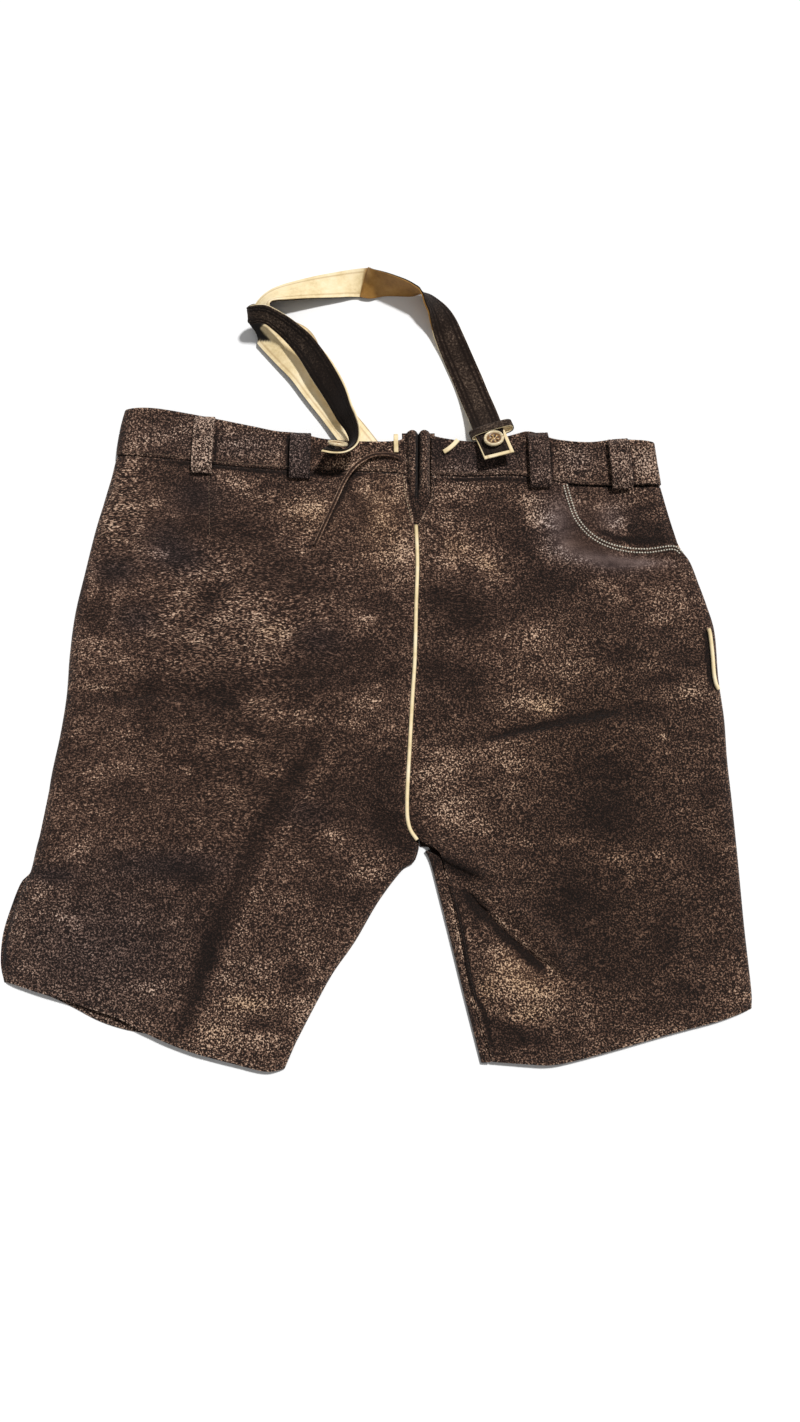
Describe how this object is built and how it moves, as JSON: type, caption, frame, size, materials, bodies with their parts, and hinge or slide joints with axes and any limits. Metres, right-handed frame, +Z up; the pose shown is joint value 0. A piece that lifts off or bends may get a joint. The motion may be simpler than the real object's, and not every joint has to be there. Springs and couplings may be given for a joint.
{
  "type": "leather shorts with braces",
  "caption": "Knee-length lederhosen in brown nubuck, laid flat with the back up: laced gusset at the waist, cream piping, belt loops, and dark braces on horn buttons.",
  "frame": {"origin": "on the surface that the garment lies on, under the middle of the box round all of it", "axes": "+Z up from the surface, +Y from the legs towards the waist, +X towards the wearer's right, so towards the right of a view from above"},
  "size_m": [0.6465, 0.7376, 0.0432],
  "materials": {
    "brown_nubuck": "distressed dark brown nubuck, matt",
    "dark_suede": "dark brown suede with flecks, cream inside, matt",
    "cream_leather": "cream piping leather, satin",
    "horn": "carved horn, satin"
  },
  "bodies": {
    "root": {"front_left": "brown_nubuck", "front_right": "brown_nubuck", "inseam_right": "brown_nubuck", "back_left": "brown_nubuck", "back_right": "brown_nubuck", "pocket_facing": "brown_nubuck", "band_front_left": "brown_nubuck", "band_front_right": "brown_nubuck", "band_back_left": "brown_nubuck", "band_back_right": "brown_nubuck", "gusset": "brown_nubuck", "belt_loop_1": "brown_nubuck", "belt_loop_2": "brown_nubuck", "belt_loop_3": "brown_nubuck", "belt_loop_4": "brown_nubuck", "strap_left": "dark_suede", "strap_right": "dark_suede", "keeper_right": "dark_suede", "lace": "dark_suede", "piping_seat": "cream_leather", "piping_knife": "cream_leather", "lace_loop_left": "cream_leather", "lace_loop_right": "cream_leather", "button_left": "horn", "button_right": "horn"}
  },
  "joints": []
}
